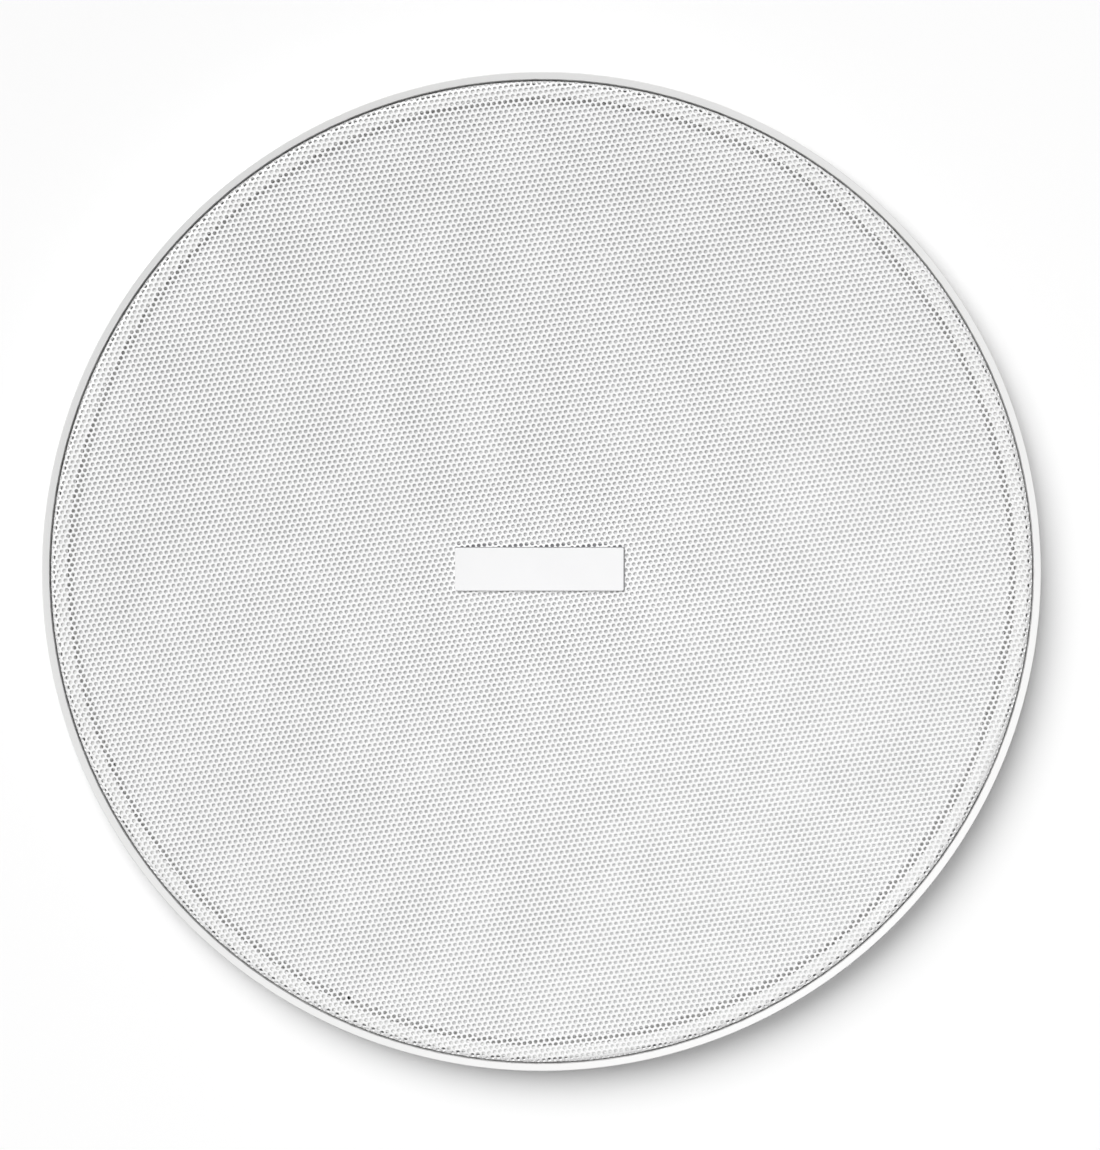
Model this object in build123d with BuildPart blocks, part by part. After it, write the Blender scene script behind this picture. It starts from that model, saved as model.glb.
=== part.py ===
import os
from math import cos, pi, radians, sin, sqrt

from build123d import *

os.makedirs("parts", exist_ok=True)

# In-ceiling loudspeaker, in millimetres. The underside of the ceiling is z 0, +Z points up into the void
# above it and the grille faces down. The tweeter bridge lies along Y and the badge along X.

# Fits, each a gap on the radius
bond_gap = 0.05
running_gap = 0.08
screw_gap = 0.4

# Woofer basket
rim_radius = 83.0
rim_width = 9.5
rim_height = 8.0
basket_sheet = 1.2
cup_height = 14.0
shelf_rise = 32.0
shelf_width = 6.0
neck_height = 7.0
motor_hole_margin = 1.0
window_count = 8
window_angle = 21.0
window_margin = 3.5
window_round = 3.0

# Woofer diaphragm, suspension and voice coil
roll_margin = 0.8
roll_width = 10.0
surround_sheet = 0.7
surround_lip = 5.0
gasket_thickness = 2.0
gasket_margin = 0.2
cone_lip = 3.0
cone_depth = 28.0
cone_sheet = 0.7
cap_radius = 17.0
cap_rise = 5.0
cap_sheet = 0.5
cap_gap = 0.2
spider_radius = 44.0
spider_sheet = 0.5
spider_collar = 2.5
spider_waves = 4
wave_height = 1.0
coil_radius = 12.7
former_wall = 0.25
former_start = 2.0
former_tail = 2.0
winding_wall = 0.9
winding_length = 14.0

# Woofer motor
pole_clearance = 0.7
coil_clearance = 0.75
front_plate_radius = 40.0
front_plate_thickness = 6.0
magnet_overhang = 2.5
magnet_bore = 22.0
magnet_thickness = 15.0
yoke_thickness = 6.0
vent_radius = 5.0
plate_chamfer = 0.8

# Mounting frame
frame_wall = 2.5
rim_clearance = 1.2
cup_clearance = 1.5
baffle_thickness = 3.0
trough_width = 11.8
trough_height = 4.5
flange_overlap = 15.0
flange_thickness = 2.5
lip_height = 8.8
lip_width = 1.6
lip_slope = 0.4
lip_round = 0.2
ledge_width = 3.1
rebate_width = 4.0
rebate_depth = 1.2
boss_wall = 2.0
boss_height = 5.0
rib_thickness = 1.6
rib_height = 4.0
rib_angle = 16.0

# Grille, scrim, badge and grille magnets
grille_gap = 0.3
grille_setback = 0.5
grille_sheet = 0.5
grille_skirt = 4.2
grille_bend = 1.2
groove_gap = 0.4
ledge_gap = 0.1
scrim_thickness = 0.25
scrim_margin = 1.0
badge_width = 39.2
badge_depth = 10.0
badge_thickness = 0.6
badge_round = 0.4
badge_offset = -0.5
disc_radius = 4.0
disc_thickness = 3.0
disc_proud = 0.5
disc_count = 8
disc_margin = 0.5

# Fixing screws of the woofer, the bridge and the board
screw_radius = 1.6
screw_head_radius = 3.4
screw_head_height = 2.2
screw_bite = 6.0
woofer_screw_count = 4
woofer_screw_angle = 45.0
board_screw_radius = 1.25
board_head_radius = 2.6
board_head_height = 1.8
head_round = 0.8
cross_length = 3.4
cross_width = 0.7
cross_depth = 1.0

# Clamps
clamp_count = 4
clamp_angle = 49.0
clamp_travel = 30.0
clamp_floor_gap = 1.5
clamp_screw_radius = 2.0
clamp_head_radius = 4.0
clamp_head_height = 3.0
clamp_tip = 1.5
recess_width = 1.0
recess_length = 4.6
recess_depth = 1.6
nut_wall = 1.2
nut_flange = 1.2
nut_flange_thickness = 1.0
hub_gap = 0.5
arm_length = 24.0
arm_width = 8.0
arm_height = 10.0
heel_width = 3.0
heel_reach = 2.0
stop_gap = 0.3
tower_length = 7.0
clip_width = 2.2
clip_thickness = 0.8
clip_gap = 0.3

# Tweeter and its bridge
bridge_gap = 0.95
bridge_thickness = 3.0
bridge_width = 14.0
bridge_round = 2.0
bridge_end_gap = 1.5
tweeter_radius = 17.4
tweeter_depth = 14.3
tweeter_wall = 1.2
tweeter_flange = 2.1
bridge_ring = 3.4
pot_radius = 10.5
pot_height = 8.6
pot_floor = 2.5
dome_radius = 6.9
dome_rise = 2.6
dome_sheet = 0.3
dome_roll = 1.1
tweeter_coil_wall = 0.5
tweeter_gap = 0.2
tweeter_magnet_radius = 6.0
pole_plate_thickness = 2.0
tweeter_coil_length = 2.4
horn_mouth_rim = 1.0
horn_throat_land = 0.75
lead_radius = 0.7
lead_spacing = 2.0
lead_bend = 3.0
channel_depth = 2.2
channel_side = 0.5

# Crossover board and what stands on it
board_angle = 90.0
board_half_angle = 27.0
board_lift = 3.3
board_thickness = 1.6
board_inner_gap = 3.5
board_outer_gap = 0.5
board_fixing_angle = 23.5
inductor_angle = 76.0
bobbin_radius = 9.0
bobbin_hub = 4.5
bobbin_bore = 2.5
bobbin_flange = 1.5
bobbin_height = 13.0
winding_margin = 0.8
capacitor_angle = 103.0
capacitor_radius = 5.0
capacitor_length = 18.0
capacitor_round = 1.0
resistor_angle = 104.0
resistor_width = 6.5
resistor_length = 18.0
part_spacing = 1.8
block_width = 20.0
block_depth = 13.5
block_height = 16.0
block_edge_gap = 1.0
button_spacing = 10.0
button_width = 6.0
button_height = 9.0
button_proud = 3.0
button_travel = 2.5
button_gap = 0.1
button_round = 0.6
wire_hole_radius = 1.75
wire_hole_depth = 8.0
wire_hole_height = 4.5
strip_width = 16.0
strip_height = 8.0
strip_thickness = 1.5
strip_gap = 0.2
strip_lift = 0.8
lug_width = 4.8
lug_thickness = 0.8
lug_height = 9.0
lug_spacing = 10.0
hookup_radius = 0.8
hookup_bend = 3.2
hookup_reach = 4.4

# Radii of the basket, suspension and frame, from the woofer outwards
cup_radius = rim_radius - rim_width
roll_outer = cup_radius - basket_sheet - roll_margin
roll_inner = roll_outer - roll_width
roll_middle = roll_outer - roll_width / 2
cone_radius = roll_inner - cone_lip
former_outer = coil_radius + former_wall
neck_radius = former_outer + bond_gap
winding_inner = former_outer + bond_gap
winding_outer = winding_inner + winding_wall
plate_bore = winding_outer + coil_clearance
pole_radius = coil_radius - pole_clearance
step_inner = rim_radius + rim_clearance
step_outer = step_inner + frame_wall
trough_outer = step_outer + trough_width
spigot_radius = trough_outer + frame_wall
outer_radius = spigot_radius + flange_overlap
baffle_opening = cup_radius + cup_clearance
woofer_screw_circle = (roll_outer + surround_lip + rim_radius) / 2
grille_radius = outer_radius - lip_width - grille_gap
ledge_outer = grille_radius - grille_sheet - groove_gap
ledge_inner = ledge_outer - ledge_width
rebate_inner = ledge_inner - rebate_width
scrim_radius = ledge_inner - scrim_margin
disc_circle = scrim_radius - disc_margin - disc_radius
clamp_circle = (step_outer + trough_outer) / 2
hub_radius = trough_width / 2 - hub_gap
nut_radius = clamp_screw_radius + running_gap + nut_wall

# Heights of the same pieces
rim_back = rim_height + basket_sheet
baffle_back = rim_back + baffle_thickness
cup_top = rim_height + cup_height
shelf_front = rim_height + shelf_rise
neck_top = shelf_front + neck_height
motor_front = neck_top + basket_sheet
magnet_front = motor_front + front_plate_thickness
yoke_front = magnet_front + magnet_thickness
cone_neck = rim_height + cone_depth
trough_front = trough_height - frame_wall
lip_front = -lip_height
grille_front = lip_front + grille_setback
grille_back = grille_front + grille_sheet
scrim_back = grille_back + scrim_thickness
ledge_front = grille_back + ledge_gap
rebate_front = ledge_front + rebate_depth
disc_front = scrim_back + bond_gap
arm_rest = trough_height + clamp_floor_gap + clamp_travel
arm_top = arm_rest + arm_height
nut_top = arm_top + nut_flange_thickness
tip_clip = nut_top + clip_gap
clamp_screw_end = tip_clip + clip_thickness + clamp_tip
bridge_front = scrim_back + bridge_gap
bridge_back = bridge_front + bridge_thickness
board_front = baffle_back + board_lift
board_back = board_front + board_thickness

# Places along the bridge's axis and on the board
bridge_end = trough_outer - bridge_end_gap
leg_length = bridge_end - step_inner
lead_drop = step_outer + channel_side + lead_radius
bridge_screw_place = lead_drop + lead_radius + channel_side + screw_radius + boss_wall
board_inner = cup_radius + board_inner_gap
board_outer = trough_outer - board_outer_gap
inner_fixing_circle = board_inner + board_head_radius + screw_gap
block_outer = board_outer - block_edge_gap
block_inner = block_outer - block_depth


def polar_plane(angle, radius, height):
    """A level plane at a place on a circle, with its X axis pointing outwards."""
    outward = (cos(radians(angle)), sin(radians(angle)), 0)
    return Plane(origin=(radius * outward[0], radius * outward[1], height), x_dir=outward, z_dir=(0, 0, 1))


def cone_face(radius):
    """Height of the cone's front face at a radius."""
    return cone_neck - (radius - neck_radius) * cone_depth / (cone_radius - neck_radius)


# Mounting frame: a turned moulding with bosses, towers and ribs on its back
frame_profile = [
    (outer_radius, 0),
    (outer_radius, lip_front),
    (outer_radius - lip_width, lip_front + lip_slope),
    (outer_radius - lip_width, -flange_thickness),
    (ledge_outer, -flange_thickness),
    (ledge_outer, ledge_front),
    (ledge_inner, ledge_front),
    (ledge_inner, rebate_front),
    (rebate_inner, rebate_front),
    (rebate_inner, -flange_thickness),
    (trough_outer, -flange_thickness),
    (trough_outer, trough_front),
    (step_inner, trough_front),
    (step_inner, rim_back),
    (baffle_opening, rim_back),
    (baffle_opening, baffle_back),
    (step_outer, baffle_back),
    (step_outer, trough_height),
    (spigot_radius, trough_height),
    (spigot_radius, 0),
]
with BuildPart() as mounting_frame:
    with BuildSketch(Plane.XZ):
        with BuildLine():
            Polyline(*frame_profile, close=True)
        make_face()
    revolve(axis=Axis.Z)
    fillet(mounting_frame.edges().filter_by(GeomType.CIRCLE).sort_by(Axis.Z)[0], lip_round)
    # Bosses for the grille magnets hang from the flange, in front
    boss_front = disc_front + disc_proud
    with BuildSketch(Plane.XY.offset(boss_front)):
        with PolarLocations(disc_circle, disc_count, start_angle=180 / disc_count):
            Circle(disc_radius + bond_gap + boss_wall / 2)
    extrude(amount=-flange_thickness - boss_front)
    with BuildSketch(Plane.XY.offset(disc_front)):
        with PolarLocations(disc_circle, disc_count, start_angle=180 / disc_count):
            Circle(disc_radius + bond_gap)
    extrude(amount=disc_thickness, mode=Mode.SUBTRACT)
    # Bosses behind the woofer's fixing screws
    with BuildSketch(Plane.XY.offset(rim_back)):
        with PolarLocations(woofer_screw_circle, woofer_screw_count, start_angle=woofer_screw_angle):
            Circle(screw_radius + boss_wall)
    extrude(amount=baffle_thickness + boss_height)
    with BuildSketch(Plane.XY.offset(rim_back)):
        with PolarLocations(woofer_screw_circle, woofer_screw_count, start_angle=woofer_screw_angle):
            Circle(screw_radius + bond_gap)
    extrude(amount=screw_bite, mode=Mode.SUBTRACT)
    # Bosses behind the bridge's screws, and the hole that the tweeter's leads come through
    with BuildSketch(Plane.XY.offset(trough_front)):
        with PolarLocations(bridge_screw_place, 2, start_angle=90):
            Circle(screw_radius + boss_wall)
    extrude(amount=frame_wall + boss_height)
    with BuildSketch(Plane.XY.offset(trough_front)):
        with PolarLocations(bridge_screw_place, 2, start_angle=90):
            Circle(screw_radius + bond_gap)
    extrude(amount=screw_bite, mode=Mode.SUBTRACT)
    with BuildSketch(Plane.XY.offset(trough_front)):
        with Locations((0, lead_drop)):
            Circle(lead_spacing / 2 + lead_radius + channel_side)
    extrude(amount=frame_wall, mode=Mode.SUBTRACT)
    # Pillars that hold the crossover board
    with BuildSketch(Plane.XY.offset(trough_front)):
        for side in (-1, 1):
            with PolarLocations(clamp_circle, 1, start_angle=board_angle + side * board_fixing_angle):
                Circle(board_screw_radius + boss_wall)
    extrude(amount=board_front - trough_front)
    with BuildSketch(Plane.XY.offset(rim_back)):
        with PolarLocations(inner_fixing_circle, 1, start_angle=board_angle):
            Circle(board_screw_radius + boss_wall)
    extrude(amount=board_front - rim_back)
    with BuildSketch(Plane.XY.offset(board_front)):
        for side in (-1, 1):
            with PolarLocations(clamp_circle, 1, start_angle=board_angle + side * board_fixing_angle):
                Circle(board_screw_radius + bond_gap)
        with PolarLocations(inner_fixing_circle, 1, start_angle=board_angle):
            Circle(board_screw_radius + bond_gap)
    extrude(amount=-board_lift, mode=Mode.SUBTRACT)
    # Towers that stop the swinging clamp arms, and the clamp screws' holes
    tower_face = -heel_width / 2 - stop_gap
    tower_root = -trough_width / 2 - frame_wall / 2
    with BuildSketch(Plane.XY.offset(trough_front)):
        with PolarLocations(clamp_circle, clamp_count, start_angle=clamp_angle):
            with Locations(((tower_face + tower_root) / 2, hub_radius + hub_gap + tower_length / 2)):
                Rectangle(tower_face - tower_root, tower_length)
    extrude(amount=arm_top - trough_front)
    with BuildSketch(Plane.XY.offset(trough_front)):
        with PolarLocations(clamp_circle, clamp_count, start_angle=clamp_angle):
            Circle(clamp_screw_radius + running_gap)
    extrude(amount=frame_wall, mode=Mode.SUBTRACT)
    # Ribs across the trough
    with BuildSketch(Plane.XY.offset(trough_front)):
        for side in (-1, 1):
            with PolarLocations(clamp_circle, 4, start_angle=side * rib_angle):
                Rectangle(trough_width + frame_wall, rib_thickness)
    extrude(amount=frame_wall + rib_height)
mounting_frame.part.label = "mounting_frame"
export_step(mounting_frame.part, "parts/mounting_frame.step")

# Grille: a flat sheet with a rolled edge and a skirt turned back into the frame's groove
bend_radius = grille_radius - grille_bend
bend_height = grille_front + grille_bend
skirt_inner = grille_radius - grille_sheet
skirt_back = grille_front + grille_skirt
with BuildPart() as grille:
    with BuildSketch(Plane.XZ):
        with BuildLine():
            Line((0, grille_front), (bend_radius, grille_front))
            CenterArc((bend_radius, bend_height), grille_bend, -90, 90)
            Polyline(
                (grille_radius, bend_height),
                (grille_radius, skirt_back),
                (skirt_inner, skirt_back),
                (skirt_inner, bend_height),
            )
            CenterArc((bend_radius, bend_height), grille_bend - grille_sheet, 0, -90)
            Polyline((bend_radius, grille_back), (0, grille_back), (0, grille_front))
        make_face()
    revolve(axis=Axis.Z)
grille.part.label = "grille"
export_step(grille.part, "parts/grille.step")

# Scrim: cloth glued to the back of the grille
with BuildPart() as grille_scrim:
    with BuildSketch(Plane.XY.offset(grille_back)):
        Circle(scrim_radius)
    extrude(amount=scrim_thickness)
grille_scrim.part.label = "grille_scrim"
export_step(grille_scrim.part, "parts/grille_scrim.step")

# Badge: a bare plate glued to the front of the grille
with BuildPart() as grille_badge:
    with BuildSketch(Plane.XY.offset(grille_front)):
        with Locations((badge_offset, badge_offset)):
            RectangleRounded(badge_width, badge_depth, badge_round)
    extrude(amount=-badge_thickness)
grille_badge.part.label = "grille_badge"
export_step(grille_badge.part, "parts/grille_badge.step")

# Grille magnets: discs pressed into their bosses
with BuildPart() as grille_magnets:
    with BuildSketch(Plane.XY.offset(disc_front)):
        with PolarLocations(disc_circle, disc_count, start_angle=180 / disc_count):
            Circle(disc_radius)
    extrude(amount=disc_thickness)
grille_magnets.part.label = "grille_magnets"
export_step(grille_magnets.part, "parts/grille_magnets.step")

# Basket: pressed sheet with a flat rim, a cup, a cone of spokes, the spider's shelf and a neck
basket_neck = spider_radius - shelf_width
motor_hole = plate_bore + motor_hole_margin
basket_profile = [
    (rim_radius, rim_height),
    (cup_radius - basket_sheet, rim_height),
    (cup_radius - basket_sheet, cup_top),
    (spider_radius, shelf_front),
    (basket_neck, shelf_front),
    (basket_neck, neck_top),
    (motor_hole, neck_top),
    (motor_hole, motor_front),
    (basket_neck + basket_sheet, motor_front),
    (basket_neck + basket_sheet, shelf_front + basket_sheet),
    (spider_radius + basket_sheet / 2, shelf_front + basket_sheet),
    (cup_radius, cup_top + basket_sheet / 2),
    (cup_radius, rim_back),
    (rim_radius, rim_back),
]
window_inner = spider_radius + window_margin
window_outer = cup_radius - basket_sheet - window_margin
with BuildSketch(Plane.XY.offset(rim_back)) as window:
    with BuildLine():
        CenterArc((0, 0), window_outer, -window_angle / 2, window_angle)
        CenterArc((0, 0), window_inner, -window_angle / 2, window_angle)
        for side in (-1, 1):
            spoke = Vector(1, 0).rotate(Axis.Z, side * window_angle / 2)
            Line(spoke * window_inner, spoke * window_outer)
    make_face()
    fillet(window.vertices(), window_round)
with BuildPart() as woofer_basket:
    with BuildSketch(Plane.XZ):
        with BuildLine():
            Polyline(*basket_profile, close=True)
        make_face()
    revolve(axis=Axis.Z)
    with BuildSketch(Plane.XY.offset(rim_back)):
        with PolarLocations(0, window_count, start_angle=180 / window_count):
            add(window.sketch)
    extrude(amount=motor_front - rim_back, mode=Mode.SUBTRACT)
    with BuildSketch(Plane.XY.offset(rim_height)):
        with PolarLocations(woofer_screw_circle, woofer_screw_count, start_angle=woofer_screw_angle):
            Circle(screw_radius + screw_gap)
    extrude(amount=basket_sheet, mode=Mode.SUBTRACT)
woofer_basket.part.label = "woofer_basket"
export_step(woofer_basket.part, "parts/woofer_basket.step")

# Gasket: a soft ring on the front of the rim, outside the surround's lip
with BuildPart() as woofer_gasket:
    with BuildSketch(Plane.XY.offset(rim_height)):
        Circle(rim_radius - gasket_margin)
        Circle(roll_outer + surround_lip + gasket_margin, mode=Mode.SUBTRACT)
        with PolarLocations(woofer_screw_circle, woofer_screw_count, start_angle=woofer_screw_angle):
            Circle(screw_radius + screw_gap, mode=Mode.SUBTRACT)
    extrude(amount=-gasket_thickness)
woofer_gasket.part.label = "woofer_gasket"
export_step(woofer_gasket.part, "parts/woofer_gasket.step")

# Woofer screws: pan heads with a cross recess on the gasket, shanks into the frame's bosses
gasket_front = rim_height - gasket_thickness
with BuildSketch() as cross:
    Rectangle(cross_length, cross_width)
    Rectangle(cross_width, cross_length)
with BuildPart() as woofer_screws:
    with BuildSketch(Plane.XY.offset(gasket_front)):
        with PolarLocations(woofer_screw_circle, woofer_screw_count, start_angle=woofer_screw_angle):
            Circle(screw_head_radius)
    extrude(amount=-screw_head_height)
    fillet(woofer_screws.edges().group_by(Axis.Z)[0], head_round)
    with BuildSketch(Plane.XY.offset(gasket_front - screw_head_height)):
        with PolarLocations(woofer_screw_circle, woofer_screw_count, start_angle=woofer_screw_angle):
            add(cross.sketch)
    extrude(amount=cross_depth, mode=Mode.SUBTRACT)
    with BuildSketch(Plane.XY.offset(gasket_front)):
        with PolarLocations(woofer_screw_circle, woofer_screw_count, start_angle=woofer_screw_angle):
            Circle(screw_radius)
    extrude(amount=rim_back + screw_bite - screw_gap - gasket_front)
woofer_screws.part.label = "woofer_screws"
export_step(woofer_screws.part, "parts/woofer_screws.step")

# Surround: a half roll between the cone's lip and the rim
lip_face = rim_height - surround_sheet
roll_centre = rim_height - surround_sheet / 2
roll_far = roll_width / 2 + surround_sheet / 2
roll_near = roll_width / 2 - surround_sheet / 2
far_half = sqrt(roll_far**2 - (surround_sheet / 2) ** 2)
near_half = sqrt(roll_near**2 - (surround_sheet / 2) ** 2)
with BuildPart() as woofer_surround:
    with BuildSketch(Plane.XZ):
        with BuildLine():
            Line((cone_radius, lip_face), (roll_middle - far_half, lip_face))
            ThreePointArc(
                (roll_middle - far_half, lip_face),
                (roll_middle, roll_centre - roll_far),
                (roll_middle + far_half, lip_face),
            )
            Polyline(
                (roll_middle + far_half, lip_face),
                (roll_outer + surround_lip, lip_face),
                (roll_outer + surround_lip, rim_height),
                (roll_middle + near_half, rim_height),
            )
            ThreePointArc(
                (roll_middle + near_half, rim_height),
                (roll_middle, roll_centre - roll_near),
                (roll_middle - near_half, rim_height),
            )
            Polyline(
                (roll_middle - near_half, rim_height),
                (cone_radius, rim_height),
                (cone_radius, lip_face),
            )
        make_face()
    revolve(axis=Axis.Z)
woofer_surround.part.label = "woofer_surround"
export_step(woofer_surround.part, "parts/woofer_surround.step")

# Cone: a straight-sided sheet with a flat lip under the surround
with BuildPart() as woofer_cone:
    with BuildSketch(Plane.XZ):
        with BuildLine():
            Polyline(
                (roll_inner, rim_height),
                (cone_radius, rim_height),
                (neck_radius, cone_neck),
                (neck_radius, cone_neck + cone_sheet),
                (cone_radius, rim_height + cone_sheet),
                (roll_inner, rim_height + cone_sheet),
                close=True,
            )
        make_face()
    revolve(axis=Axis.Z)
woofer_cone.part.label = "woofer_cone"
export_step(woofer_cone.part, "parts/woofer_cone.step")

# Dust cap: a shallow dome glued to the cone's front
cap_base = cone_face(cap_radius) - cap_gap
cap_inner = cap_radius - cap_sheet
with BuildPart() as dust_cap:
    with BuildSketch(Plane.XZ):
        with BuildLine():
            TangentArc((0, cap_base - cap_rise), (cap_radius, cap_base), tangent=(1, 0))
            Line((cap_radius, cap_base), (cap_inner, cap_base))
            TangentArc((0, cap_base - cap_rise + cap_sheet), (cap_inner, cap_base), tangent=(1, 0))
            Line((0, cap_base - cap_rise + cap_sheet), (0, cap_base - cap_rise))
        make_face()
    revolve(axis=Axis.Z)
dust_cap.part.label = "dust_cap"
export_step(dust_cap.part, "parts/dust_cap.step")

# Spider: corrugated cloth between the former and the basket's shelf
spider_face = shelf_front - spider_sheet
wave_start = neck_radius + spider_collar
wave_end = basket_neck - spider_sheet
wave_steps = [step / (4 * spider_waves) for step in range(4 * spider_waves + 1)]
spider_edge = spider_radius - spider_sheet
wave_span = wave_end - wave_start
wave_front = [
    (wave_start + step * wave_span, spider_face + wave_height * sin(2 * pi * spider_waves * step))
    for step in wave_steps
]
wave_back = [(radius, height + spider_sheet) for radius, height in wave_front]
with BuildPart() as woofer_spider:
    with BuildSketch(Plane.XZ):
        with BuildLine():
            Line((neck_radius, spider_face), wave_front[0])
            Spline(*wave_front)
            Polyline(wave_front[-1], (spider_edge, spider_face), (spider_edge, shelf_front), wave_back[-1])
            Spline(*wave_back)
            Polyline(wave_back[0], (neck_radius, shelf_front), (neck_radius, spider_face))
        make_face()
    revolve(axis=Axis.Z)
woofer_spider.part.label = "woofer_spider"
export_step(woofer_spider.part, "parts/woofer_spider.step")

# Voice coil: a thin former with its winding centred in the front plate
coil_middle = motor_front + front_plate_thickness / 2
former_front = cone_neck - former_start
former_back = coil_middle + winding_length / 2 + former_tail
with BuildPart() as voice_coil_former:
    with BuildSketch(Plane.XY.offset(former_front)):
        Circle(former_outer)
        Circle(coil_radius, mode=Mode.SUBTRACT)
    extrude(amount=former_back - former_front)
voice_coil_former.part.label = "voice_coil_former"
export_step(voice_coil_former.part, "parts/voice_coil_former.step")

with BuildPart() as voice_coil_winding:
    with BuildSketch(Plane.XY.offset(coil_middle - winding_length / 2)):
        Circle(winding_outer)
        Circle(winding_inner, mode=Mode.SUBTRACT)
    extrude(amount=winding_length)
voice_coil_winding.part.label = "voice_coil_winding"
export_step(voice_coil_winding.part, "parts/voice_coil_winding.step")

# Motor: front plate, ring magnet, and a yoke with a vented pole
with BuildPart() as motor_front_plate:
    with BuildSketch(Plane.XY.offset(motor_front)):
        Circle(front_plate_radius)
        Circle(plate_bore, mode=Mode.SUBTRACT)
    extrude(amount=front_plate_thickness)
motor_front_plate.part.label = "motor_front_plate"
export_step(motor_front_plate.part, "parts/motor_front_plate.step")

with BuildPart() as woofer_magnet:
    with BuildSketch(Plane.XY.offset(magnet_front)):
        Circle(front_plate_radius + magnet_overhang)
        Circle(magnet_bore, mode=Mode.SUBTRACT)
    extrude(amount=magnet_thickness)
    chamfer(woofer_magnet.edges().filter_by(GeomType.CIRCLE).sort_by(SortBy.RADIUS)[-2:], plate_chamfer)
woofer_magnet.part.label = "woofer_magnet"
export_step(woofer_magnet.part, "parts/woofer_magnet.step")

with BuildPart() as motor_yoke:
    with BuildSketch(Plane.XY.offset(yoke_front)):
        Circle(front_plate_radius)
    extrude(amount=yoke_thickness)
    chamfer(motor_yoke.edges().sort_by(Axis.Z)[-1], plate_chamfer)
    with BuildSketch(Plane.XY.offset(yoke_front)):
        Circle(pole_radius)
    extrude(amount=motor_front - yoke_front)
    with BuildSketch(Plane.XY.offset(motor_front)):
        Circle(vent_radius)
    extrude(amount=yoke_front + yoke_thickness - motor_front, mode=Mode.SUBTRACT)
motor_yoke.part.label = "motor_yoke"
export_step(motor_yoke.part, "parts/motor_yoke.step")

# Woofer terminals: an insulating strip against the cup, two lugs and two leads from the board
strip_front = baffle_back + strip_lift
strip_inner = cup_radius + strip_gap
strip_outer = strip_inner + strip_thickness
lug_outer = strip_outer + lug_thickness
with BuildPart() as terminal_strip:
    with BuildSketch(Plane.XY.offset(strip_front)):
        with Locations((0, (strip_inner + strip_outer) / 2)):
            Rectangle(strip_width, strip_thickness)
    extrude(amount=strip_height)
terminal_strip.part.label = "terminal_strip"
export_step(terminal_strip.part, "parts/terminal_strip.step")

lug_front = strip_front + strip_height / 4
with BuildPart() as terminal_lugs:
    with BuildSketch(Plane.XY.offset(lug_front)):
        for side in (-1, 1):
            with Locations((side * lug_spacing / 2, (strip_outer + lug_outer) / 2)):
                Rectangle(lug_width, lug_thickness)
    extrude(amount=lug_height)
terminal_lugs.part.label = "terminal_lugs"
export_step(terminal_lugs.part, "parts/terminal_lugs.step")

hookup_height = lug_front + lug_height - 2 * hookup_radius
with BuildPart() as woofer_leads:
    for side in (-1, 1):
        with BuildLine() as hookup_run:
            FilletPolyline(
                (side * lug_spacing / 2, lug_outer + hookup_reach, board_back),
                (side * lug_spacing / 2, lug_outer + hookup_reach, hookup_height),
                (side * lug_spacing / 2, lug_outer + bond_gap, hookup_height),
                radius=hookup_bend,
            )
        with BuildSketch(Plane(origin=hookup_run.line @ 0, z_dir=hookup_run.line % 0)):
            Circle(hookup_radius)
        sweep(path=hookup_run.line)
woofer_leads.part.label = "woofer_leads"
export_step(woofer_leads.part, "parts/woofer_leads.step")

# Bridge: a bar across the woofer on two legs, with a ring round the tweeter and a channel for its leads
channel_half = lead_spacing / 2 + lead_radius + channel_side
with BuildPart() as tweeter_bridge:
    with BuildSketch(Plane.XY.offset(bridge_front)):
        RectangleRounded(bridge_width, 2 * bridge_end, bridge_round)
        Circle(tweeter_radius + bond_gap + bridge_ring)
    extrude(amount=bridge_thickness)
    with BuildSketch(Plane.XY.offset(bridge_back)):
        for side in (-1, 1):
            with Locations((0, side * (bridge_end - leg_length / 2))):
                RectangleRounded(bridge_width, leg_length, bridge_round)
    extrude(amount=trough_front - bridge_back)
    with BuildSketch(Plane.XY.offset(bridge_front)):
        Circle(tweeter_radius + bond_gap)
        with PolarLocations(bridge_screw_place, 2, start_angle=90):
            Circle(screw_radius + screw_gap)
    extrude(amount=trough_front - bridge_front, mode=Mode.SUBTRACT)
    with BuildSketch(Plane.XY.offset(bridge_front)):
        with PolarLocations(bridge_screw_place, 2, start_angle=90):
            Circle(screw_head_radius + screw_gap)
    extrude(amount=screw_head_height, mode=Mode.SUBTRACT)
    with BuildSketch(Plane.XY.offset(bridge_back - channel_depth)):
        with Locations((0, lead_drop / 2)):
            Rectangle(2 * channel_half, lead_drop)
    extrude(amount=channel_depth, mode=Mode.SUBTRACT)
    with BuildSketch(Plane.XY.offset(bridge_back - channel_depth)):
        with Locations((0, lead_drop)):
            Circle(channel_half)
    extrude(amount=trough_front - bridge_back + channel_depth, mode=Mode.SUBTRACT)
tweeter_bridge.part.label = "tweeter_bridge"
export_step(tweeter_bridge.part, "parts/tweeter_bridge.step")

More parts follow.
